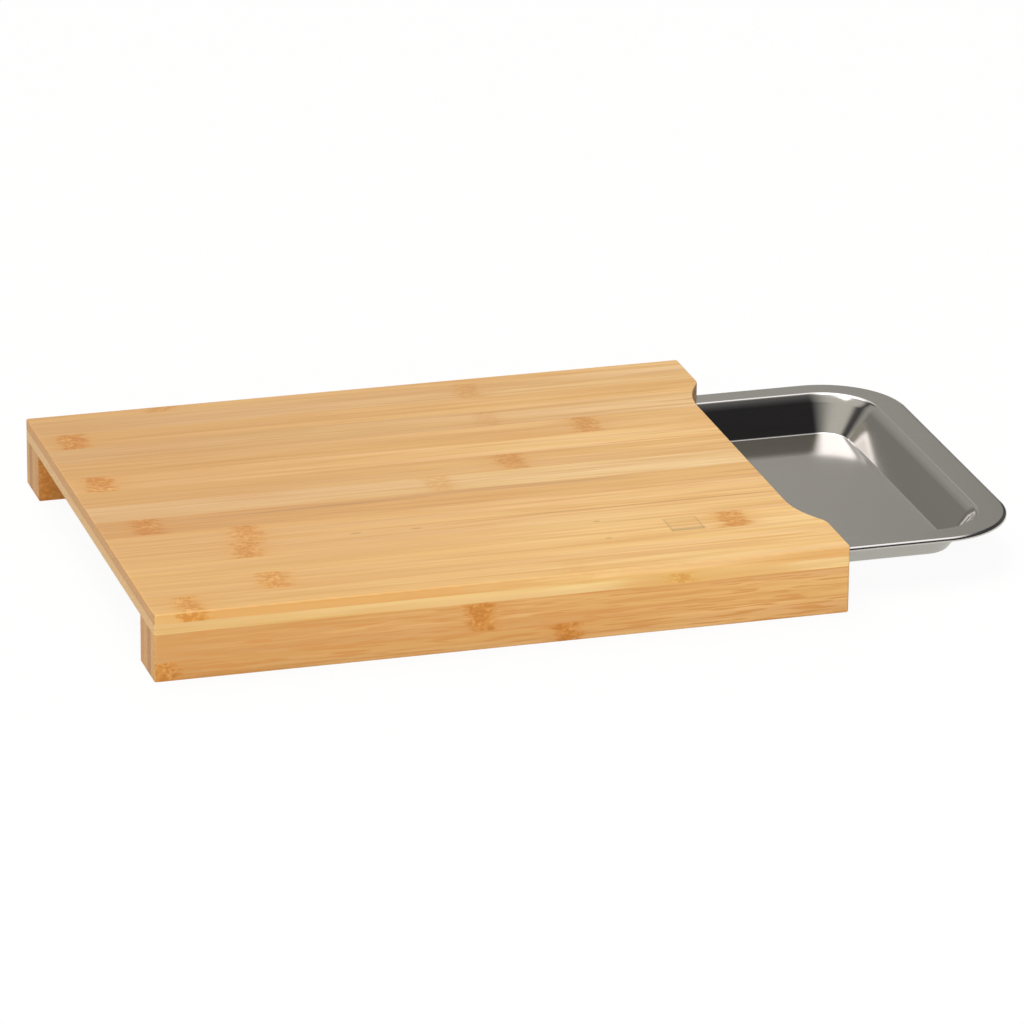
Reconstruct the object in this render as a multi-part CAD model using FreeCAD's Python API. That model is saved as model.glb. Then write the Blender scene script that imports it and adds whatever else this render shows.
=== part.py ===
import FreeCAD, Part
import math
import os

# A bamboo cutting board with a steel tray under it. The board is glued up from
# two layers of strips and stands on two laminated side rails. A pressed tray
# hangs by its flange in a groove in each rail and slides out at one end.
#
# Millimetres. +Z is up, +X is the way the tray pulls out and -Y is the front.
# The origin lies on the surface that the rails stand on, below the middle of
# the board and the drawn-out tray taken together.

# ------------------------------------------------------------------ board
board_length = 400.0            # along X, the way the strips run
board_width = 320.0             # along Y
top_layer = 6.0                 # thickness of the layer that is cut on
base_layer = 6.0                # thickness of the layer glued under it
strip_width = 24.1              # a full bamboo strip
first_top_strip = 21.7          # the top layer's front strip, trimmed with the board
first_base_strip = 12.0         # the base layer's front strip, which staggers the seams
narrowest_strip = 5.0           # a narrower remainder stays on the strip before it
top_edge_round = 0.8            # sanded edge around the cutting face
upright_edge_round = 1.5        # sanded upright corners of the board and the rails

# ------------------------------------------------------------------ side rails
rail_height = 28.0
rail_layer = 8.0                # thickness of one upright layer
rail_layers = 4                 # upright layers in a rail, counted from the outside
low_seam = 11.0                 # height of the seam in the first and third layer
high_seam = 17.0                # height of the seam in the second and fourth layer
foot_edge_round = 1.2           # sanded edge along the rail's foot

# ------------------------------------------------------------------ finger notch in the board's right end
notch_mouth = 246.0             # width where the notch meets the end
notch_depth = 12.4
notch_mouth_radius = 15.0       # outward curve at each side of the mouth
notch_inner_radius = 65.0       # inward curve from there to the flat

# ------------------------------------------------------------------ tray
tray_length = 325.0
tray_depth = 21.0               # from the top of the flange to the underside of the floor
sheet = 0.8                     # thickness of the steel
flange_width = 18.4             # out to the crease, which the bend then rounds off
lip_drop = 2.1                  # how far the flange's edge is turned down
wall_run = 13.6                 # how far the sloping wall comes in on its way down
floor_corner_radius = 17.5
lip_bend = 1.9                  # bend radii on the side that faces up or out
flange_bend = 9.0
floor_bend = 2.5

# ------------------------------------------------------------------ how the tray fits and where it is
groove_depth = 5.5              # how far each groove is cut into its rail
groove_side_clearance = 1.0     # between the flange's edge and the bottom of the groove
groove_floor_clearance = 0.3    # running clearance under the turned-down lip
flange_headroom = 0.8           # between the flange and the underside of the board
stop_clearance = 0.5            # between the flange's corner and the groove's blind end, tray home
home_inset = 1.0                # how far inside the board's end the tray lies when it is home
pulled_out = 118.5              # how far the tray stands out of the board's end at rest

# ------------------------------------------------------------------ worked out from the sizes above
base_top = rail_height + base_layer
board_top = base_top + top_layer
rail_width = rail_layers * rail_layer
bay_width = board_width - 2 * rail_width

board_left = -(board_length + pulled_out) / 2
board_right = board_left + board_length
board_back = board_width / 2
board_front = -board_back
rail_inside = board_front + rail_width

tray_left = board_right + pulled_out - tray_length
tray_home_left = board_right - home_inset - tray_length
flange_hold = groove_depth - groove_side_clearance
tray_width = bay_width + 2 * flange_hold
tray_corner_radius = floor_corner_radius + wall_run + flange_width
lip_round = min(lip_bend, 0.95 * lip_drop)
flange_top = rail_height - flange_headroom
lip_bottom = flange_top - lip_drop
groove_floor = lip_bottom - groove_floor_clearance
floor_top = flange_top - tray_depth + sheet

overrun = 1.0                   # how far a cutting block runs past the face it opens
same_place = 1e-4               # two places nearer than this are one

os.makedirs("parts", exist_ok=True)


def at(x, y, z=0.0):
    return FreeCAD.Vector(x, y, z)


def block(x0, x1, y0, y1, z0, z1):
    return Part.makeBox(x1 - x0, y1 - y0, z1 - z0, at(x0, y0, z0))


def line(start, end):
    return Part.LineSegment(start, end).toShape()


def arc(start, through, end):
    return Part.Arc(start, through, end).toShape()


def upright_edges(shape, corners):
    """The edges that stand on the given (x, y) corners."""
    found = []
    for edge in shape.Edges:
        box = edge.BoundBox
        if box.XLength > same_place or box.YLength > same_place:
            continue
        if any(math.hypot(box.XMin - x, box.YMin - y) < same_place for x, y in corners):
            found.append(edge)
    return found


def edges_at_height(shape, z):
    return [edge for edge in shape.Edges
            if abs(edge.BoundBox.ZMin - z) < same_place and abs(edge.BoundBox.ZMax - z) < same_place]


def save(node, shape):
    """Write one piece. Every node here is a single solid."""
    solid = shape.Solids[0]
    solid.exportStep("parts/" + node + ".step")
    print("%-22s %8.2f cm3" % (node, solid.Volume / 1000), len(shape.Solids), solid.isValid())


# ------------------------------------------------------------------ the board's two layers
def notch_side():
    """From the mouth to the flat, as (distance from the board's middle, depth) on two arcs that meet."""
    both_radii = notch_mouth_radius + notch_inner_radius
    swing = math.acos(1 - notch_depth / both_radii)
    half_mouth = notch_mouth / 2
    half_flat = half_mouth - both_radii * math.sin(swing)

    def on_mouth_curve(angle):
        return half_mouth - notch_mouth_radius * math.sin(angle), notch_mouth_radius * (1 - math.cos(angle))

    def on_inner_curve(angle):
        return half_flat + notch_inner_radius * math.sin(angle), notch_depth - notch_inner_radius * (1 - math.cos(angle))

    return [on_mouth_curve(0), on_mouth_curve(swing / 2), on_mouth_curve(swing),
            on_inner_curve(swing / 2), on_inner_curve(0)]


def layer_blank(z0, z1):
    """A layer of the board in one piece, with the notch and the sanded upright corners."""
    front_side = [at(board_right - depth, -distance, z0) for distance, depth in notch_side()]
    back_side = [at(board_right - depth, distance, z0) for distance, depth in reversed(notch_side())]
    front_left = at(board_left, board_front, z0)
    front_right = at(board_right, board_front, z0)
    back_left = at(board_left, board_back, z0)
    back_right = at(board_right, board_back, z0)
    outline = [line(front_left, front_right), line(front_right, front_side[0]),
               arc(*front_side[0:3]), arc(*front_side[2:5]), line(front_side[4], back_side[0]),
               arc(*back_side[0:3]), arc(*back_side[2:5]),
               line(back_side[4], back_right), line(back_right, back_left), line(back_left, front_left)]
    blank = Part.Face(Part.Wire(outline)).extrude(at(0, 0, z1 - z0))
    corners = [(x, y) for x in (board_left, board_right) for y in (board_front, board_back)]
    return blank.makeFillet(upright_edge_round, upright_edges(blank, corners))


def strip_seams(first_strip):
    """Where the strips of a layer begin and end, from the front of the board to its back."""
    seams = [board_front, board_front + first_strip]
    while board_back - seams[-1] > strip_width:
        seams.append(seams[-1] + strip_width)
    if board_back - seams[-1] < narrowest_strip:
        seams.pop()
    return seams + [board_back]


def save_strips(name, blank, first_strip, z0, z1):
    seams = strip_seams(first_strip)
    for number, (front, back) in enumerate(zip(seams, seams[1:]), start=1):
        strip = blank.common(block(board_left, board_right, front, back, z0, z1))
        save("%s_strip_%02d" % (name, number), strip)


base_blank = layer_blank(rail_height, base_top)
save_strips("base", base_blank, first_base_strip, rail_height, base_top)

top_blank = layer_blank(base_top, board_top)
top_round = min(top_edge_round, 0.9 * upright_edge_round, 0.5 * top_layer)
top_blank = top_blank.makeFillet(top_round, edges_at_height(top_blank, board_top))
save_strips("top", top_blank, first_top_strip, base_top, board_top)


# ------------------------------------------------------------------ rails
def flange_groove():
    """The space for the flange: open at the board's right end, blind where the tray is home.

    The flange's round corner reaches the groove's mouth a little way from the tray's end, so the
    blind end stands that much further along."""
    off_centre = tray_corner_radius - flange_hold
    corner_reach = tray_corner_radius - math.sqrt(tray_corner_radius ** 2 - off_centre ** 2)
    blind_end = tray_home_left + corner_reach - stop_clearance
    return block(blind_end, board_right + overrun, rail_inside - groove_depth, rail_inside + overrun,
                 groove_floor, rail_height + overrun)


def front_rail():
    """The front rail before it is taken apart into its layers."""
    rail = block(board_left, board_right, board_front, rail_inside, 0, rail_height)
    corners = [(board_left, board_front), (board_right, board_front)]
    rail = rail.makeFillet(upright_edge_round, upright_edges(rail, corners))
    foot_round = min(foot_edge_round, 0.9 * upright_edge_round)
    foot = [edge for edge in edges_at_height(rail, 0) if edge.BoundBox.YMin < rail_inside - same_place]
    rail = rail.makeFillet(foot_round, foot)
    return rail.cut(flange_groove())


def save_rail(name, rail):
    """Two lamellas to a layer, with the seam low in one layer and high in the next."""
    across = rail.BoundBox
    from_front = across.YMin < board_front + same_place
    for layer in range(rail_layers):
        seam = high_seam if layer % 2 else low_seam
        front = across.YMin + layer * rail_layer if from_front else across.YMax - (layer + 1) * rail_layer
        for part, z0, z1 in (("low", 0, seam), ("high", seam, rail_height)):
            lamella = rail.common(block(board_left, board_right, front, front + rail_layer, z0, z1))
            save("%s_rail_%d_%s" % (name, layer + 1, part), lamella)


save_rail("front", front_rail())
save_rail("back", front_rail().mirror(at(0, 0), at(0, 1)))


# ------------------------------------------------------------------ tray
def bent_line(corners, radii):
    """An open line through the corners, with a bend of the given radius at each inner one."""
    edges = []
    here = corners[0]
    for before, corner, after, radius in zip(corners, corners[1:], corners[2:], radii):
        back = (before - corner).normalize()
        ahead = (after - corner).normalize()
        half_angle = back.getAngle(ahead) / 2
        reach = radius / math.tan(half_angle)
        towards_centre = (back + ahead).normalize()
        middle = corner + towards_centre * (radius / math.sin(half_angle) - radius)
        edges += [line(here, corner + back * reach), arc(corner + back * reach, middle, corner + ahead * reach)]
        here = corner + ahead * reach
    return Part.Wire(edges + [line(here, corners[-1])])


def wall_section(floor_inset):
    """The sheet cut across its lip, flange and wall, with the tray's edge at X = 0 and the floor inwards."""
    upper_side = bent_line([at(0, 0, lip_bottom), at(0, 0, flange_top), at(flange_width, 0, flange_top),
                            at(flange_width + wall_run, 0, floor_top), at(floor_inset, 0, floor_top)],
                           [lip_round, flange_bend, floor_bend])
    return upper_side.makeOffset2D(-sheet, join=0, fill=True, openResult=True)


def tray():
    slope = math.atan2(flange_top - floor_top, wall_run)
    floor_inset = flange_width + wall_run + floor_bend * math.tan(slope / 2) + sheet
    section = wall_section(floor_inset)
    straight_x = tray_length - 2 * tray_corner_radius
    straight_y = tray_width - 2 * tray_corner_radius
    up = at(0, 0, 1)
    middle = at(0, 0)

    corner = section.copy()
    corner.translate(at(-tray_corner_radius, 0))
    corner = corner.revolve(middle, at(0, 0, -1), 90)
    pieces = []
    for turns, x, y in ((0, -1, 1), (1, -1, -1), (2, 1, -1), (3, 1, 1)):
        placed = corner.copy()
        placed.rotate(middle, up, 90 * turns)
        placed.translate(at(x * straight_x / 2, y * straight_y / 2))
        pieces.append(placed)
    for turns, length, width in ((0, tray_length, straight_y), (1, tray_width, straight_x),
                                 (2, tray_length, straight_y), (3, tray_width, straight_x)):
        wall = section.copy()
        wall.translate(at(-length / 2, -width / 2))
        wall = wall.extrude(at(0, width))
        wall.rotate(middle, up, 90 * turns)
        pieces.append(wall)

    half_x = tray_length / 2 - floor_inset
    half_y = tray_width / 2 - floor_inset
    floor = block(-half_x, half_x, -half_y, half_y, floor_top - sheet, floor_top)
    floor_corners = [(x, y) for x in (-half_x, half_x) for y in (-half_y, half_y)]
    floor = floor.makeFillet(tray_corner_radius - floor_inset, upright_edges(floor, floor_corners))
    whole = floor.multiFuse(pieces).removeSplitter()
    whole.translate(at(tray_left + tray_length / 2, 0))
    return whole


save("tray", tray())
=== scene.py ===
# %% [markdown]
# # A bamboo cutting board with a steel tray
#
# The board is glued up from strips of bamboo in two layers and stands on two laminated rails.
# A pressed steel tray hangs by its flange in a groove along each rail and slides out to the right.
#
# The packed part already holds every piece at its real size, so this lesson gives each bamboo
# piece its finish, models the steel tray afresh with smooth bends, and sets up a small studio.
# Everything is in metres. +X is the way the tray pulls out, -Y is the front and +Z is up.

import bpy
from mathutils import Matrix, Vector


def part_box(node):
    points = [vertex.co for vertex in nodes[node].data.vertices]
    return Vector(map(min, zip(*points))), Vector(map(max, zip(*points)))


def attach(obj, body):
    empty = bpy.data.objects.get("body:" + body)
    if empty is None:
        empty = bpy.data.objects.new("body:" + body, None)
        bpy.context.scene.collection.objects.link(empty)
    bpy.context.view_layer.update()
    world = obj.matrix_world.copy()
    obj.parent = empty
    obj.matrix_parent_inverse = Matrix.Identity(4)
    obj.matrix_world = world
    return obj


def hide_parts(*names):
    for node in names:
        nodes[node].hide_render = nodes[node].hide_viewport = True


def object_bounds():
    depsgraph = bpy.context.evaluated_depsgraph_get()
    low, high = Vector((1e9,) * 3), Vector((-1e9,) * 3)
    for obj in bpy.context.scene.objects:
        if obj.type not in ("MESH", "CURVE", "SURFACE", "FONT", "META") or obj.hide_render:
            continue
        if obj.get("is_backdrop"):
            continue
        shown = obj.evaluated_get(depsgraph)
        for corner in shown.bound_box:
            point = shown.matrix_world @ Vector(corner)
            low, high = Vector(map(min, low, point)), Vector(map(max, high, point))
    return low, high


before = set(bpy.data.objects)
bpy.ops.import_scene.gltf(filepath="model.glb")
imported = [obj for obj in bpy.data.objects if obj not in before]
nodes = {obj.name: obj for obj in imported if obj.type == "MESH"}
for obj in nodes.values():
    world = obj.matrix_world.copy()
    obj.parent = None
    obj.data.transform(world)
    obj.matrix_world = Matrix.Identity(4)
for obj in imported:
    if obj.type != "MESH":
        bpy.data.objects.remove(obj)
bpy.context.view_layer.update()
print("pieces in the frame:", len(nodes))

# %% Modules and units
import math

import bmesh
import bpy
from mathutils import Matrix, Quaternion, Vector

MM = 0.001
scene = bpy.context.scene

# %% [markdown]
# ## Where things are
#
# The pieces are named by what they are, so a name is enough to find a piece's place. The board's
# own box comes from its strips. It is the measure for everything that is drawn on the bamboo,
# such as a knot so many millimetres from the left end.

# %% Boxes that the finishes are measured from
def box_of(prefix):
    """Lowest and highest corner of all the pieces whose names start with prefix."""
    boxes = [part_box(name) for name in nodes if name.startswith(prefix)]
    low = Vector([min(box[0][axis] for box in boxes) for axis in range(3)])
    high = Vector([max(box[1][axis] for box in boxes) for axis in range(3)])
    return low, high


board_low, board_high = box_of("top_strip")
tray_low, tray_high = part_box("tray")
print("board in mm:", [round(side / MM, 1) for side in board_high - board_low])
print("tray in mm:", [round(side / MM, 1) for side in tray_high - tray_low])

# %% [markdown]
# ## Camera
#
# A long lens from a few metres away keeps the board's long edges nearly parallel, which shows its
# true shape best. The camera looks down from the front, a little from the left. Its place could
# be typed in as a bare position, but two angles and a distance are easier to adjust.

# %% Camera
camera_bearing = math.radians(-16.56)
camera_height_angle = math.radians(20.97)
camera_roll = math.radians(0.57)
camera_distance = 3.874
camera_lens = 237.4             # millimetres, as on a real lens
looked_at = Vector((-12.3, -10.1, 20.0)) * MM


def direction(bearing, height_angle):
    """A unit vector from the object: bearing 0 is the front, and it turns towards the right end."""
    level = math.cos(height_angle)
    return Vector((math.sin(bearing) * level, -math.cos(bearing) * level, math.sin(height_angle)))


towards_camera = direction(camera_bearing, camera_height_angle)
camera_data = bpy.data.cameras.new("camera")
camera_data.lens = camera_lens
camera = bpy.data.objects.new("camera", camera_data)
scene.collection.objects.link(camera)
camera.location = looked_at + towards_camera * camera_distance
camera.rotation_mode = "QUATERNION"
upright = towards_camera.to_track_quat("Z", "Y")
camera.rotation_quaternion = upright @ Quaternion((0, 0, 1), camera_roll)
scene.camera = camera
scene.view_settings.view_transform = "Standard"
print("camera at", [round(place, 3) for place in camera.location])

# %% [markdown]
# ## Shader maths as plain Python
#
# A finish is a network of nodes. Writing it node by node hides the idea, so a small class wraps
# an output socket and lets Python's operators add the Math nodes.

# %% Values
class Value:
    """A number that varies over a surface: one output socket, with Python's operators."""

    def __init__(self, finish, socket):
        self.finish = finish
        self.socket = socket

    def math(self, operation, *terms):
        """Add one Math node for an operation on values and plain numbers."""
        return self.finish.node("Math", {"operation": operation}, dict(enumerate(terms)))

    def __add__(self, other):
        return self.math("ADD", self, other)

    def __sub__(self, other):
        return self.math("SUBTRACT", self, other)

    def __rsub__(self, other):
        return self.math("SUBTRACT", other, self)

    def __mul__(self, other):
        return self.math("MULTIPLY", self, other)

    def __truediv__(self, other):
        return self.math("DIVIDE", self, other)

    def __abs__(self):
        return self.math("ABSOLUTE", self)

    __radd__ = __add__
    __rmul__ = __mul__

    def largest(self, other):
        """The larger of two values."""
        return self.math("MAXIMUM", self, other)

    def smallest(self, other):
        """The smaller of two values."""
        return self.math("MINIMUM", self, other)

    def step(self, start, end):
        """0 before start and 1 after end, with a soft change between them."""
        inputs = {"Value": self, "From Min": start, "From Max": end}
        return self.finish.node("MapRange", {"interpolation_type": "SMOOTHSTEP"}, inputs)

    def inside(self, core, rim):
        """1 where the value is under core, falling softly to 0 at rim."""
        return 1 - self.step(core, rim)


print("values can be added, subtracted, multiplied, divided and compared")

# %% [markdown]
# ## One class for a finish
#
# A second class holds one material, or the surroundings, and has a single method for every kind of
# node. Colours and vectors go through Mix and Vector Math, because a Math node would turn them
# grey. Most patterns here start from noise that is drawn out along X, the way the fibres run.

# %% Finishes
class Finish:
    """One material, or the world's surroundings, and the nodes in it."""

    def __init__(self, owner):
        owner.use_nodes = True
        self.owner = owner
        self.tree = owner.node_tree
        self.tree.nodes.clear()

    def node(self, kind, settings=None, inputs=None, output=0):
        """Add a node. Its settings are made first, and each input is a number, a colour or a value."""
        added = self.tree.nodes.new("ShaderNode" + kind)
        for name, setting in (settings or {}).items():
            setattr(added, name, setting)
        for name, given in (inputs or {}).items():
            if isinstance(given, Value):
                self.tree.links.new(given.socket, added.inputs[name])
            else:
                added.inputs[name].default_value = given
        return Value(self, added.outputs[output]) if added.outputs else None

    def mix(self, share, first, second):
        """A colour between first and second. The Mix node's colour sockets are numbers 6 and 7."""
        return self.node("Mix", {"data_type": "RGBA"}, {0: share, 6: first, 7: second}, output=2)

    def times(self, first, second):
        """Two colours or vectors multiplied part by part."""
        return self.node("VectorMath", {"operation": "MULTIPLY"}, {0: first, 1: second})

    def part(self, vector, axis):
        """One part of a vector: its X, Y or Z."""
        return self.node("SeparateXYZ", None, {0: vector}, output=axis)

    def noise(self, place, length, width, shift=0.0, detail=2.0, distortion=0.0):
        """Smooth random values about 0.5, in blots of a length along X and a width, in millimetres.

        The noise has no end, and the shift says which stretch of it is used."""
        scale = (1 / (length * MM), 1 / (width * MM), 1 / (width * MM))
        start = (shift, 2 * shift, 3 * shift)
        fitted = self.times(place, scale)
        fitted = self.node("VectorMath", {"operation": "ADD"}, {0: fitted, 1: start})
        inputs = {"Vector": fitted, "Scale": 1.0, "Detail": detail, "Distortion": distortion}
        return self.node("TexNoise", None, inputs)


print("a finish can add:", ", ".join(name for name in vars(Finish) if not name.startswith("_")))

# %% [markdown]
# ## Colours
#
# Colours are easiest to judge as they look on a screen, from 0 to 255. Shaders work with the
# amount of light instead, so each colour is converted once, where it is named. The tones of the
# bamboo lie close together: pale yellow ones, and deeper ones of stalks that were steamed longer.

# %% Colours by their screen values
def screen_colour(red, green, blue):
    """A colour for a shader from its screen values."""
    def linear(level):
        share = level / 255
        return share / 12.92 if share <= 0.04045 else ((share + 0.055) / 1.055) ** 2.4

    return linear(red), linear(green), linear(blue), 1.0


def tinted(colour, red, green, blue):
    """The colour with each part of its light multiplied, no part over full."""
    return tuple(min(1.0, part * share) for part, share in zip(colour, (red, green, blue))) + (1.0,)


BAMBOO_TONES = {
    "straw": screen_colour(229, 184, 119),
    "wheat": screen_colour(226, 180, 118),
    "butter": screen_colour(229, 192, 128),
    "cream": screen_colour(226, 186, 132),
    "honey": screen_colour(220, 173, 110),
    "amber": screen_colour(217, 167, 104),
    "rose": screen_colour(219, 175, 119),
}
print("bamboo tones:", ", ".join(BAMBOO_TONES))

# %% [markdown]
# ## The studio floor
#
# The floor is a sheet of white paper that runs out of sight. Lamps bright enough to whiten it
# would bleach the bamboo, so to the camera most of it glows by itself at full white. The small
# share of real paper left in it keeps the soft shadow of the board. In the steel it glows less,
# and to all other light it is plain white paper, which lights the object from below.

# %% Floor
floor_reach = 60.0
floor_glow_share = 0.94         # of what the camera sees, the rest is lit paper
mirrored_glow_share = 0.64      # and of what steel and glass show

bpy.ops.mesh.primitive_plane_add(size=2 * floor_reach)
floor = bpy.context.object
floor.name = "studio_floor"
floor_finish = Finish(bpy.data.materials.new("studio_floor"))
seen = floor_finish.node("LightPath", output="Is Camera Ray")
mirrored = floor_finish.node("LightPath", output="Is Glossy Ray")
through_glass = floor_finish.node("LightPath", output="Is Transmission Ray")
glow = (seen * floor_glow_share).largest((mirrored + through_glass) * mirrored_glow_share)
paper = floor_finish.node("BsdfDiffuse", None, {"Color": screen_colour(246, 246, 246)})
white = floor_finish.node("Emission", None, {"Strength": 1.0})
floor_surface = floor_finish.node("MixShader", None, {0: glow, 1: paper, 2: white})
floor_finish.node("OutputMaterial", None, {"Surface": floor_surface})
floor.data.materials.append(floor_finish.owner)
floor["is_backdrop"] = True
print("floor is", 2 * floor_reach, "m wide")

# %% [markdown]
# ## Surroundings
#
# Polished steel shows whatever stands around it, so the surroundings matter as much as the lamp.
# They are set up as in a studio, square to the camera: a white sweep at the floor's far edge, a
# grey wall behind the object, a pale screen to the left of the camera, and a dark room behind
# the camera. A picture of a studio could be wrapped round the scene instead, but a few masks are
# easier to move and need no file.
#
# They are painted by direction, as one level of light from 0 to a few times full white. A height
# is the sine of the angle above the horizon, and each mask is given by where its soft edge starts
# and where it ends.

# %% Directions in the studio
world = bpy.data.worlds.new("studio")
scene.world = world
around = Finish(world)
looking = around.node("TexCoord", output="Generated")
square_on = around.node("VectorRotate", {"rotation_type": "Z_AXIS"},
                        {"Vector": looking, "Angle": -camera_bearing})
to_right = around.part(square_on, "X")
to_back = around.part(square_on, "Y")
height = around.part(looking, "Z")
print("the studio is turned by", round(math.degrees(-camera_bearing), 2), "degrees")

# %% Room, wall, sweep and screen
room_light = 0.09
front_room_light = 0.026
wall_light = 0.52
wall_foot_light = 0.25
wall_right_end_share = 0.25
wall_top = 0.46
sweep_top = 0.05
screen_light = 0.5
screen_edge_light = 0.18
screen_top = 0.60

behind_the_camera = to_back.inside(-0.6, 0.0)
room = room_light - (room_light - front_room_light) * behind_the_camera

above_its_foot = height.step(0.16, 0.36)
at_its_right_end = to_right.step(0.03, 0.15)
wall = wall_foot_light + (wall_light - wall_foot_light) * above_its_foot
wall = wall * height.inside(wall_top, 1.25 * wall_top) * to_back.step(0.15, 0.6)
wall = wall * (1 - (1 - wall_right_end_share) * at_its_right_end)

sweep = height.inside(sweep_top, 2.5 * sweep_top) * to_back.step(-0.2, 0.2)

screen = height.inside(screen_top, 1.15 * screen_top) * to_back.inside(-0.5, -0.1)
screen_left = screen_light * to_right.inside(-0.1, 0.15)
screen_edge = screen_edge_light * to_right.inside(0.50, 0.70)
screen = screen * screen_left.largest(screen_edge)
print("wall at", wall_light, "of white, screen at", screen_light)

# %% [markdown]
# ## Softboxes overhead
#
# Overhead hang a large softbox, a dimmer one that reaches further back and a narrow one beside
# them, all above a wide sheet of diffuser. Seen by direction their edges would be curves. But a
# direction divided by its height gives the place where it meets a ceiling one unit up, and there
# a softbox is a plain rectangle.

# %% Softboxes
softbox_light = 4.0             # lights are in times full white
back_softbox_light = 1.7
side_softbox_light = 2.0
diffuser_light = 0.80
lowest_height = 0.05            # keeps the ceiling from running out of sight

ceiling_right = to_right / height.largest(lowest_height)
ceiling_back = to_back / height.largest(lowest_height)


def on_ceiling(left, right, front, back):
    """1 inside a rectangle of the ceiling, each side given by where its soft edge starts and ends."""
    across = ceiling_right.step(*left) * ceiling_right.inside(*right)
    return across * ceiling_back.step(*front) * ceiling_back.inside(*back)


softbox = on_ceiling(left=(-0.80, -0.55), right=(-0.04, 0.30),
                     front=(-0.38, -0.18), back=(0.55, 1.10))
back_softbox = on_ceiling(left=(-0.60, -0.30), right=(0.12, 0.30),
                          front=(0.00, 0.20), back=(1.30, 2.10))
side_softbox = on_ceiling(left=(-0.10, 0.05), right=(0.24, 0.38),
                          front=(0.40, 0.55), back=(1.10, 1.70))
diffuser = on_ceiling(left=(-1.55, -1.15), right=(-0.30, 0.72),
                      front=(-1.05, -0.70), back=(0.30, 0.90))
print("softbox at", softbox_light, "times white, diffuser at", diffuser_light)

# %% [markdown]
# ## The sky that they make
#
# Where two things overlap, the brighter one counts. In the steel the unlit room and the softboxes
# are a little cooler than the warm white of wall, screen and diffuser. That difference is kept to
# mirrored rays, so the bamboo is lit by one plain white.

# %% Sky
warm_white = screen_colour(255, 253, 249)
cool_white = screen_colour(246, 244, 255)

level = room.largest(wall).largest(sweep).largest(screen)
level = level.largest(softbox * softbox_light).largest(back_softbox * back_softbox_light)
level = level.largest(side_softbox * side_softbox_light).largest(diffuser * diffuser_light)
unlit = level.inside(0.10, 0.30)
glaring = level.step(0.9, 1.7)
cooler = unlit.largest(glaring) * around.node("LightPath", output="Is Glossy Ray")
sky_colour = around.mix(cooler, warm_white, cool_white)
sky = around.node("Background", None, {"Color": sky_colour, "Strength": level})
around.node("OutputWorld", None, {"Surface": sky})
print("sky is painted with", len(around.tree.nodes), "nodes")

# %% [markdown]
# ## The lamp
#
# The ceiling alone would leave the front of the board dull. One large rectangular lamp beside the
# camera lights it, and being large it casts no hard shadow. It is kept out of the steel, whose
# reflections are already painted. A surface that shines as brightly as full white gives pi watts
# for each square metre, so the lamp's energy is worked out from its size.

# %% Front lamp
lamp_bearing = math.radians(-12)
lamp_height_angle = math.radians(17)
lamp_distance = 2.6
lamp_width = 2.4
lamp_depth = 1.5
lamp_light = 2.9

lamp_data = bpy.data.lights.new("front_softbox", "AREA")
lamp_data.shape = "RECTANGLE"
lamp_data.size = lamp_width
lamp_data.size_y = lamp_depth
lamp_data.energy = lamp_light * math.pi * lamp_width * lamp_depth
lamp = bpy.data.objects.new("front_softbox", lamp_data)
scene.collection.objects.link(lamp)
lamp.location = direction(lamp_bearing, lamp_height_angle) * lamp_distance
lamp.rotation_mode = "QUATERNION"
lamp.rotation_quaternion = lamp.location.to_track_quat("Z", "Y")
lamp.visible_camera = False
lamp.visible_glossy = False
print("lamp at", [round(place, 2) for place in lamp.location], "gives", round(lamp_data.energy, 1), "W")

# %% [markdown]
# ## Bamboo
#
# A bamboo board is made of flat strips planed from the wall of the stalk. Its fibres run straight
# along each strip as fine streaks, with broad bands of light and dark between them, and here and
# there a thin one has been toasted darker. A picture of bamboo could be laid on every face, but a
# solid pattern, worked out from the place in the board, runs on round an edge as real grain does.
#
# Each strip has one tone, and everything on it is a shade of that tone, from pale to burnt.

# %% Shades of one tone
SHADES = {
    "pale": (1.08, 1.13, 1.21),
    "deep": (0.92, 0.82, 0.67),
    "rosy": (0.96, 0.91, 1.02),
    "golden": (1.00, 0.99, 0.82),
    "toasted": (0.90, 0.75, 0.54),
    "singed": (0.88, 0.68, 0.31),
    "ember": (0.74, 0.46, 0.16),
}


def shades_of(tone):
    """The tone with its red, green and blue light multiplied, once for each shade."""
    return {shade: tinted(BAMBOO_TONES[tone], *gains) for shade, gains in SHADES.items()}


print("shades of a tone:", ", ".join(SHADES))

# %% [markdown]
# ## Grain
#
# The grain is one number per place, 0 for the deepest shade of the strip and 1 for the palest. It
# adds up three noises, each drawn out along the fibres: broad bands, streaks and fine fibres. Over
# it lie a rosy or golden blush and the toasted streaks. Painted shade also makes the whole board a
# little deeper and redder towards its left end, and a painted sheen makes it paler towards its right.

# %% Grain
band_contrast = 2.0
streak_contrast = 3.0
fibre_contrast = 2.0
blush_share = 0.55
toasted_streak_share = 0.75
# painted shade at the board's left end and painted sheen at its right end
left_end_painted_shade = 0.45
left_end_shade_gain = (0.95, 0.98, 1.00, 1.0)
right_end_sheen_gain = (1.04, 1.09, 1.13, 1.0)


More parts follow.
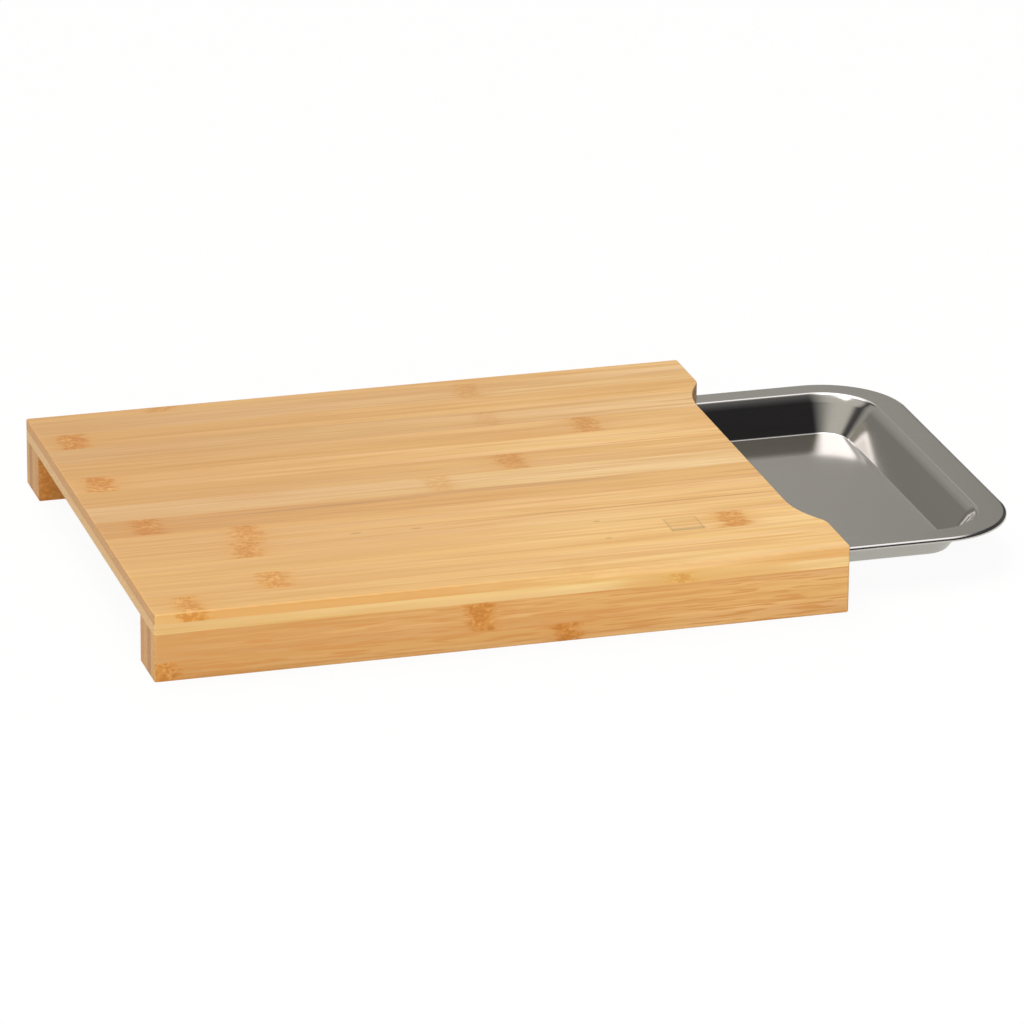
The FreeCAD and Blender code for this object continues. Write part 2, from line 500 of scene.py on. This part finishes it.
def plain_grain(finish, place, shift, shades):
    """The colour of bamboo without knots, and the streaks and fibres that its relief follows."""
    bands = finish.noise(place, 280, 11, shift, detail=1.0)
    streaks = finish.noise(place, 120, 2.8, shift + 11)
    fibres = finish.noise(place, 45, 1.1, shift + 23)
    blush = finish.noise(place, 230, 7, shift + 31, detail=1.0)
    grain = 0.5 + band_contrast * (bands - 0.5)
    grain = grain + streak_contrast * (streaks - 0.5) + fibre_contrast * (fibres - 0.5)
    colour = finish.mix(grain, shades["deep"], shades["pale"])
    colour = finish.mix(blush_share * blush.step(0.50, 0.68), colour, shades["rosy"])
    colour = finish.mix(blush_share * blush.inside(0.34, 0.50), colour, shades["golden"])
    colour = finish.mix(toasted_streak_share * streaks.inside(0.33, 0.41), colour, shades["toasted"])
    return colour, streaks, fibres


def painted_shade_to_the_left(finish, along, shades, colour):
    """Painted shade that deepens the colour towards the board's left end, and painted sheen that pales
    it towards the right.
    """
    left = along.inside(board_low.x, board_high.x)
    colour = finish.mix(left_end_painted_shade * left, colour, shades["toasted"])
    return finish.times(colour, finish.mix(left, right_end_sheen_gain, left_end_shade_gain))


print("grain contrasts:", band_contrast, streak_contrast, fibre_contrast)

# %% [markdown]
# ## Knots
#
# Where the stalk had a joint, every fibre is knitted together, and that shows as a mottled
# orange-brown band right across the strip: the knot. A plain stripe would look painted on, so its
# distance is made ragged by fine noise, and a second noise mottles it with ember and pale spots.
# A wide toasted halo lies round it. Knots are listed as (millimetres from the left end, strength).

# %% Knots
knot_core = 3.5 * MM
knot_rim = 11.0 * MM
halo_rim = 26.0 * MM
knot_raggedness = 20 * MM
halo_share = 0.50
singed_share = 0.95
ember_share = 0.85
pale_spot_share = 0.55


def with_knots(finish, place, along, shift, shades, knots, colour):
    """The colour with all the knots of a strip laid over it."""
    ragged = finish.noise(place, 24, 2.2, shift + 5) - 0.5
    mottle = finish.noise(place, 4.5, 3.4, shift + 2, detail=3.0, distortion=1.2)
    for distance, strength in knots:
        away = abs(along - (board_low.x + distance * MM) + ragged * knot_raggedness)
        halo = away.inside(0.5 * knot_core, halo_rim) * (halo_share * strength)
        core = away.inside(knot_core, knot_rim)
        embers = core * mottle.step(0.44, 0.58) * (ember_share * strength)
        pale_spots = core * mottle.inside(0.34, 0.41) * (pale_spot_share * strength)
        colour = finish.mix(halo, colour, shades["toasted"])
        colour = finish.mix(core * (singed_share * strength), colour, shades["singed"])
        colour = finish.mix(embers, colour, shades["ember"])
        colour = finish.mix(pale_spots, colour, shades["pale"])
    return colour


print("a knot is", round(2 * knot_rim / MM), "mm long and its halo", round(2 * halo_rim / MM), "mm")

# %% [markdown]
# ## The whole bamboo finish
#
# The grain and knots come first. Then dark glue shows in stretches of a strip's seams, a painted
# highlight pales the board's rounded top edges, and the fibres that are cut across at the ends show
# as small dots on a tone of their own. The bump follows streaks and fibres by a tenth of a millimetre.

# %% Bamboo finish
glue_core = 0.2 * MM
glue_rim = 1.3 * MM
glue_share = 0.75
edge_highlight_from = 1.1 * MM          # the painted edge highlight starts this far below the top
edge_highlight_to = 0.7 * MM
edge_highlight_share = 0.6
fibre_dot_gain = (0.84, 0.79, 0.72)
bamboo_roughness = 0.46
streak_roughness = 0.12
end_grain_roughness = 0.10
fibre_relief = 0.12 * MM
shift_per_piece = 3.7           # so that each piece uses another stretch of the noises


def bamboo(name, tone, end_tone, seams, seam_axis, number, knots=(), marks=(), dashes=0.0):
    """The finish of one strip or lamella. Its seams are where it is glued along seam_axis.

    Marks are functions that draw one thing more on the colour; dashes are short toasted fibres."""
    finish = Finish(bpy.data.materials.new(name))
    place = finish.node("TexCoord", output="Object")
    facing = finish.node("TexCoord", output="Normal")
    along = finish.part(place, "X")
    across = finish.part(place, seam_axis)
    shades = shades_of(tone)
    shift = shift_per_piece * number

    colour, streaks, fibres = plain_grain(finish, place, shift, shades)
    # painted shade towards the left end, painted sheen towards the right
    colour = painted_shade_to_the_left(finish, along, shades, colour)
    if dashes:
        short = finish.noise(place, 28, 1.2, shift + 53, detail=1.0)
        colour = finish.mix(dashes * short.step(0.52, 0.64), colour, shades["toasted"])

    to_seam = (across - seams[0]).smallest(seams[1] - across)
    glued = finish.noise(place, 95, 60, shift + 43, detail=1.0).step(0.44, 0.62)
    glue = glue_share * glued * to_seam.inside(glue_core, glue_rim)
    colour = finish.mix(glue, colour, shades["toasted"])
    if knots:
        colour = with_knots(finish, place, along, shift, shades, knots, colour)
    for mark in marks:
        colour = mark(finish, place, colour)

    # a painted highlight on the rounded top edges, mixed towards the pale shade
    near_the_top = finish.part(place, "Z").step(board_high.z - edge_highlight_from, board_high.z - edge_highlight_to)
    on_an_edge = finish.part(facing, "Z").inside(0.90, 0.99)
    colour = finish.mix(edge_highlight_share * (near_the_top * on_an_edge), colour, shades["pale"])
    end_grain = abs(finish.part(facing, "X")).step(0.45, 0.75)
    between_dots = finish.noise(place, 6, 1, shift + 17, detail=1.0).step(0.35, 0.65)
    end_colour = finish.mix(between_dots, tinted(end_tone, *fibre_dot_gain), end_tone)
    colour = finish.mix(end_grain, colour, end_colour)

    relief = streaks * 0.5 + fibres * 0.5
    rough = bamboo_roughness + streak_roughness * (streaks - 0.5) + end_grain_roughness * end_grain
    bump = finish.node("Bump", None, {"Strength": 0.35, "Distance": fibre_relief, "Height": relief})
    surface = finish.node("BsdfPrincipled", None, {"Base Color": colour, "Roughness": rough,
                                                   "Specular IOR Level": 0.4, "Normal": bump})
    finish.node("OutputMaterial", None, {"Surface": surface})
    return finish.owner


def dress(node, material):
    """Put the material in every slot of a packed piece."""
    slots = nodes[node].material_slots
    for slot in slots:
        slot.material = material
    if not slots:
        nodes[node].data.materials.append(material)


print("bamboo finish is ready, relief", round(fibre_relief / MM, 2), "mm")

# %% [markdown]
# ## Marks of its own
#
# Real boards aren't spotless. This one has a small square let in where a fault was cut out of a
# strip, with a grey glue line round it, a few dark flecks, one long stained streak, and three
# seams with dark glue in them. Painted into a picture they would blur close up, so each is drawn
# by a formula. A mark is a function of its place, in millimetres from the left end and from the
# front, and it returns the function that draws it.

# %% Where a mark lies
def marked_place(finish, place, distance, depth):
    """How far a point is from a mark's own place, to the right and to the back."""
    right = finish.part(place, "X") - (board_low.x + distance * MM)
    back = finish.part(place, "Y") - (board_low.y + depth * MM)
    return right, back


def fading_stretch(right, length):
    """1 along a stretch that starts at 0, fading in and out over a fifth of its length."""
    return right.step(0.0, 0.2 * length) * right.inside(0.8 * length, length)


print("marks are placed from", [round(part / MM, 1) for part in board_low[:2]], "mm")

# %% Flecks and the let-in square
glue_grey = screen_colour(166, 132, 82)
fleck_brown = screen_colour(156, 112, 64)
stain_brown = screen_colour(176, 126, 76)
fleck_share = 0.5
square_share = 0.10
outline_share = 0.36
front_glue_share = 0.45


def fleck(distance, depth, length=3.0):
    """A dark fleck, a little longer than it is wide."""
    def mark(finish, place, colour):
        right, back = marked_place(finish, place, distance, depth)
        reach = abs(right * (1.6 / length)).largest(abs(back))
        return finish.mix(fleck_share * reach.inside(0.3 * MM, 1.3 * MM), colour, fleck_brown)
    return mark


def let_in_square(distance, depth, side):
    """A square patch with a glue line round it, which is widest at the front."""
    def mark(finish, place, colour):
        right, back = marked_place(finish, place, distance, depth)
        reach = abs(right).largest(abs(back))
        square = reach.inside(0.46 * side * MM, 0.52 * side * MM)
        middle = reach.inside(0.41 * side * MM, 0.46 * side * MM)
        near_front = back.inside(-0.36 * side * MM, -0.24 * side * MM)
        colour = finish.mix(square_share * square, colour, stain_brown)
        colour = finish.mix(outline_share * (square - middle), colour, glue_grey)
        return finish.mix(front_glue_share * square * near_front, colour, glue_grey)
    return mark


print("flecks and the let-in square are ready")

# %% Stained streak and dark glue
stain_share = 0.12
stain_thread_share = 0.3
stain_wander = 9 * MM
start_thinness = 2.6            # times thinner where it starts
dark_glue_share = 0.6


def stained_streak(start, end, depth, width):
    """A stain that wanders along a strip, thin where it starts and made of fine threads."""
    def mark(finish, place, colour):
        right, back = marked_place(finish, place, start, depth)
        length = (end - start) * MM
        wander = (finish.noise(place, 120, 40, 91.0, detail=1.0) - 0.5) * stain_wander
        threads = finish.noise(place, 90, 1.6, 92.0, detail=1.0).step(0.40, 0.60)
        thinness = start_thinness - (start_thinness - 1) * right.step(0.0, 0.65 * length)
        streak = (abs(back + wander) * thinness).inside(0.15 * width * MM, 0.6 * width * MM)
        stain = stain_share + stain_thread_share * threads
        return finish.mix(streak * fading_stretch(right, length) * stain, colour, stain_brown)
    return mark


def dark_glue(start, end, depth):
    """A thin dark line of glue along a seam."""
    def mark(finish, place, colour):
        right, back = marked_place(finish, place, start, depth)
        line = fading_stretch(right, (end - start) * MM) * abs(back).inside(0.2 * MM, 1.0 * MM)
        return finish.mix(dark_glue_share * line, colour, stain_brown)
    return mark


print("stained streak and dark glue are ready")

# %% [markdown]
# ## The top layer's strips
#
# No two strips come from the same stalk, so each has its own tone, and its knots lie where the
# joints of its stalk happened to be. A random choice would make a board, but not this one, so the
# strips are listed one by one, from the front to the back, with their tone, knots and marks.

# %% Top strips
top_strips = [
    ("straw", [(22, 0.9), (243, 0.1)], []),
    ("straw", [(76, 0.75)], []),
    ("straw", [(349, 0.9)], [let_in_square(320.5, 57.5, 20), fleck(273, 46.8)]),
    ("wheat", [(73, 0.75)], [fleck(173, 89, 5.0), fleck(138, 90.5, 5.0), fleck(274, 73.5),
                             dark_glue(215, 395, 93.6)]),
    ("wheat", [(79, 0.75)], []),
    ("amber", [(27, 0.8)], [stained_streak(20, 340, 138, 9)]),
    ("cream", [(205, 0.3)], []),
    ("honey", [(254, 0.6)], []),
    ("wheat", [(17, 1.0)], []),
    ("honey", [(314, 0.6)], [dark_glue(20, 210, 214.1)]),
    ("rose", [(260, 0.2)], []),
    ("honey", [(18, 1.0)], [dark_glue(50, 270, 262.3)]),
    ("rose", [(263, 0.35)], []),
    ("honey", [(79, 0.4)], []),
]
top_end = screen_colour(208, 156, 96)

for number, (tone, knots, marks) in enumerate(top_strips, start=1):
    node = f"top_strip_{number:02d}"
    low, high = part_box(node)
    dress(node, bamboo(node, tone, top_end, (low.y, high.y), "Y", number, knots, marks))
print("top strips dressed:", len(top_strips))

# %% [markdown]
# ## The base layer's strips
#
# The second layer shows in the board's sides and ends, in the notch and from below. It has no
# marks, and its noise starts from other numbers, so that no strip repeats the one above it.

# %% Base strips
base_strips = [
    ("butter", [(301, 0.6)]),
    ("straw", [(120, 0.6)]),
    ("cream", [(240, 0.7)]),
    ("honey", [(60, 0.7)]),
    ("straw", [(330, 0.7)]),
    ("rose", [(160, 0.6)]),
    ("cream", [(285, 0.7)]),
    ("honey", [(95, 0.8)]),
    ("straw", [(215, 0.7)]),
    ("amber", [(355, 0.7)]),
    ("cream", [(40, 0.7)]),
    ("straw", [(180, 0.6)]),
    ("rose", [(310, 0.7)]),
    ("straw", [(110, 0.6)]),
]
base_end = screen_colour(224, 184, 126)
base_pattern = 40

for number, (tone, knots) in enumerate(base_strips, start=1):
    node = f"base_strip_{number:02d}"
    low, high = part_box(node)
    pattern = base_pattern + number
    dress(node, bamboo(node, tone, base_end, (low.y, high.y), "Y", pattern, knots))
print("base strips dressed:", len(base_strips))

# %% [markdown]
# ## The rails
#
# Each rail is glued up from four upright layers of two lamellas each, numbered from outside. They
# are a little deeper in tone than the strips, with short toasted fibres. Each layer is listed with
# its tone and the knots of its low and high lamella, in millimetres from the left end.

# %% Rails
rail_layers = {
    "front_rail_1": ("amber", (4, 236), (186,)),
    "front_rail_2": ("honey", (120,), (300,)),
    "front_rail_3": ("amber", (210,), (60,)),
    "front_rail_4": ("amber", (330,), (150,)),
    "back_rail_1": ("amber", (90,), (280,)),
    "back_rail_2": ("honey", (240,), (40,)),
    "back_rail_3": ("amber", (150,), (350,)),
    "back_rail_4": ("amber", (6, 24), (4, 20)),
}
rail_ends = [screen_colour(212, 164, 100), screen_colour(188, 134, 76),
             screen_colour(206, 158, 96), screen_colour(202, 150, 90)]
rail_pattern = 80
rail_knot_strength = 0.9
rail_dashes = 0.9

for number, (layer, (tone, low_knots, high_knots)) in enumerate(rail_layers.items()):
    end_tone = rail_ends[int(layer[-1]) - 1]
    for half, (side, distances) in enumerate((("low", low_knots), ("high", high_knots))):
        node = f"{layer}_{side}"
        low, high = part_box(node)
        knots = [(distance, rail_knot_strength) for distance in distances]
        pattern = rail_pattern + 2 * number + half
        dress(node, bamboo(node, tone, end_tone, (low.z, high.z), "Z", pattern, knots,
                           dashes=rail_dashes))
print("rail lamellas dressed:", 2 * len(rail_layers))

# %% [markdown]
# ## The steel tray
#
# The real tray is pressed from one sheet: a flat blank is drawn down into a pan, and its edge is
# rolled over and turned down into a lip. A cage smoothed by subdivision could give the same soft
# look, but its bends would have no known radius. So modelling follows the press. A flat face gets
# its round corners, its edge is extruded down for the lip, and it is inset again and again: for
# the rolled edge, the flange, and a wall that is steeper below its shoulder. Each crease is then
# bevelled to its own bend radius, and last the skin gets the sheet's thickness.

# %% Sizes of the tray
sheet = 0.8 * MM
lip_drop = 2.0 * MM             # from the top of the flange to the lip's lower edge
rolled_width = 1.9 * MM         # the flange's outer edge rolls over this far in
rolled_drop = 0.6 * MM          # and falls this far
tray_corner_radius = 49.5 * MM
rolled_bend = 1.2 * MM
lip_bend = 1.1 * MM
flange_bend = 3.0 * MM
shoulder_bend = 24.0 * MM
floor_bend = 1.3 * MM
corner_steps = 44
bend_steps = 9
wall_drop = tray_high.z - tray_low.z - sheet

# Where each crease runs: how far in from the outline at the ends and at the sides, and how deep.
flange_crease = (17.6 * MM, 16.0 * MM, 0.0)
shoulder_crease = (20.7 * MM, 19.1 * MM, 3.1 * MM)
floor_crease = (33.8 * MM, 31.0 * MM, wall_drop)


def slope_between(upper, lower):
    """The slope of the wall between two creases, on average over ends and sides."""
    run = (lower[0] - upper[0] + lower[1] - upper[1]) / 2
    return math.atan2(lower[2] - upper[2], run)


rolled_slope = math.atan2(rolled_drop, rolled_width)
shoulder_slope = slope_between(flange_crease, shoulder_crease)
wall_slope = slope_between(shoulder_crease, floor_crease)
slopes = [round(math.degrees(slope)) for slope in (rolled_slope, shoulder_slope, wall_slope)]
print("rolled edge, shoulder and wall slope by", slopes, "degrees")

# %% [markdown]
# ## The press
#
# Three small helpers do the work: one finds the creases that run round the tray at a height, one
# bevels them, and one draws the middle of the sheet down to the next crease. A bevel's offset is
# how far it reaches along each side of the crease, which follows from the bend radius and the
# angle that the sheet turns through. The walls are wider at the ends than at the sides, and an
# inset is even all round, so each new face is scaled a little after it.

# %% Helpers of the press
same_height = 0.01 * MM
least_fold = 0.05               # radians; anything flatter is no crease


def crease_edges(bm, height):
    """The edges that run round the tray at a height and have a fold across them."""
    found = []
    for edge in bm.edges:
        level = all(abs(vert.co.z - height) < same_height for vert in edge.verts)
        if level and len(edge.link_faces) == 2 and edge.calc_face_angle() > least_fold:
            found.append(edge)
    return found


def round_crease(bm, edges, radius, turn):
    """Bevel creases to a bend radius. The sheet turns through the angle turn there."""
    bmesh.ops.bevel(bm, geom=edges, offset=radius * math.tan(turn / 2), offset_type="OFFSET",
                    segments=bend_steps, profile=0.5, affect="EDGES", clamp_overlap=True,
                    material=-1, loop_slide=False)
    bm.normal_update()


def draw_down(bm, face, crease, depth):
    """Inset a face to the next crease and sink it by depth."""
    reach_x = max(abs(vert.co.x - middle.x) for vert in face.verts)
    reach_y = max(abs(vert.co.y - middle.y) for vert in face.verts)
    new_x = size.x / 2 - crease[0]
    new_y = size.y / 2 - crease[1]
    run = (reach_x - new_x + reach_y - new_y) / 2
    bmesh.ops.inset_region(bm, faces=[face], thickness=run, depth=-depth, use_even_offset=True)
    factors = (new_x / (reach_x - run), new_y / (reach_y - run), 1)
    bmesh.ops.scale(bm, verts=face.verts[:], vec=factors, space=Matrix.Translation(-middle))


middle = (tray_low + tray_high) / 2
size = tray_high - tray_low
print("the press is", [round(side / MM, 1) for side in size], "mm")

# %% Blank and lip
bm = bmesh.new()
outline = Matrix.Translation((middle.x, middle.y, tray_high.z - rolled_drop))
outline = outline @ Matrix.Diagonal((size.x / 2, size.y / 2, 1, 1))
bmesh.ops.create_grid(bm, x_segments=1, y_segments=1, size=1.0, matrix=outline)
bmesh.ops.bevel(bm, geom=bm.verts[:], offset=tray_corner_radius, offset_type="OFFSET",
                segments=corner_steps, profile=0.5, affect="VERTICES", clamp_overlap=True,
                material=-1)
blank = max(bm.faces, key=lambda face: face.calc_area())
print("blank has", len(blank.verts), "corners and faces", len(bm.faces))

rim = [edge for edge in bm.edges if edge.is_boundary]
lip = bmesh.ops.extrude_edge_only(bm, edges=rim)
lip_verts = [part for part in lip["geom"] if isinstance(part, bmesh.types.BMVert)]
bmesh.ops.translate(bm, verts=lip_verts, vec=(0, 0, rolled_drop - lip_drop))
print("lip hangs", round((lip_drop - rolled_drop) / MM, 1), "mm below the rolled edge")

# %% Flange, walls and floor
bmesh.ops.inset_region(bm, faces=[blank], thickness=rolled_width, depth=rolled_drop,
                       use_even_offset=True)
draw_down(bm, blank, flange_crease, 0.0)
draw_down(bm, blank, shoulder_crease, shoulder_crease[2])
draw_down(bm, blank, floor_crease, wall_drop - shoulder_crease[2])
bmesh.ops.recalc_face_normals(bm, faces=bm.faces[:])
if blank.normal.z < 0:
    bmesh.ops.reverse_faces(bm, faces=bm.faces[:])
bm.normal_update()
print("after the press:", len(bm.faces), "faces, floor at", round(blank.calc_center_median().z / MM, 2))

# %% Bends
rim_creases = crease_edges(bm, tray_high.z)
between = (rolled_slope + shoulder_slope) / 2
rolled_creases = [edge for edge in rim_creases if edge.calc_face_angle() < between]
flange_creases = [edge for edge in rim_creases if edge.calc_face_angle() > between]
lip_creases = crease_edges(bm, tray_high.z - rolled_drop)
round_crease(bm, lip_creases, lip_bend, math.radians(90) - rolled_slope)
round_crease(bm, rolled_creases, rolled_bend, rolled_slope)
round_crease(bm, flange_creases, flange_bend, shoulder_slope)
shoulder_creases = crease_edges(bm, tray_high.z - shoulder_crease[2])
round_crease(bm, shoulder_creases, shoulder_bend, wall_slope - shoulder_slope)
floor_creases = crease_edges(bm, tray_low.z + sheet)
round_crease(bm, floor_creases, floor_bend, wall_slope)
creases = (lip_creases, rolled_creases, flange_creases, shoulder_creases, floor_creases)
print("edges rounded per crease:", [len(edges) for edges in creases])

# %% [markdown]
# ## The sheet's thickness
#
# Solidify could also be a modifier. Done in the mesh, it is one closed skin from the start, and
# the only modifier left is the one that keeps the flat parts looking flat: it weights each
# corner's normal by the size of its faces. The tray then rides on the packed tray's body, takes
# its place, and moves with it.

# %% Tray object
smooth_up_to = math.radians(40)
bmesh.ops.solidify(bm, geom=bm.faces[:], thickness=sheet)
bm.normal_update()

tray_mesh = bpy.data.meshes.new("pressed_tray")
bm.to_mesh(tray_mesh)
bm.free()
tray = bpy.data.objects.new("pressed_tray", tray_mesh)
scene.collection.objects.link(tray)
for face in tray_mesh.polygons:
    face.use_smooth = True
tray_mesh.set_sharp_from_angle(angle=smooth_up_to)
flat_faces = tray.modifiers.new("keep_flats_flat", "WEIGHTED_NORMAL")
flat_faces.keep_sharp = True
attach(tray, "tray")
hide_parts("tray")
print("tray in mm:", [round(side / MM, 2) for side in tray.dimensions], len(tray_mesh.polygons), "faces")

# %% [markdown]
# ## Brushed steel
#
# Rolled stainless sheet is a soft mirror. Its roughness is low, and it varies in long fine lines
# along the rolling direction and, more broadly, where hands have been. An anisotropic shader
# would draw its highlights out, but the lines here are too faint for that, so noise on colour,
# roughness and a very shallow bump is enough.

# %% Steel finish
steel_roughness = 0.125
roughness_change = 0.03
rolled_relief = 0.01 * MM
steel_dark = screen_colour(184, 181, 173)
steel_light = screen_colour(195, 192, 184)

steel = Finish(bpy.data.materials.new("brushed_steel"))
steel_place = steel.node("TexCoord", output="Object")
rolled = steel.noise(steel_place, 60, 0.5)
cloudy = steel.noise(steel_place, 45, 30, 4.0)
steel_rough = steel_roughness + roughness_change * (rolled - 0.5) + roughness_change * (cloudy - 0.5)
steel_colour = steel.mix(rolled, steel_dark, steel_light)
steel_bump = steel.node("Bump", None, {"Strength": 0.1, "Distance": rolled_relief, "Height": rolled})
steel_surface = steel.node("BsdfPrincipled", None, {"Base Color": steel_colour, "Metallic": 1.0,
                                                    "Roughness": steel_rough, "Normal": steel_bump})
steel.node("OutputMaterial", None, {"Surface": steel_surface})
tray_mesh.materials.append(steel.owner)
print("steel is on the tray, roughness", steel_roughness)

# %% [markdown]
# ## Sizes and the end
#
# The box of the dressed object is printed at the end. The dressed object may not
# outgrow the packed one.

# %% Write the sizes and finish
low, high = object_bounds()
print("visual box in mm:", [round(side / MM, 2) for side in high - low])
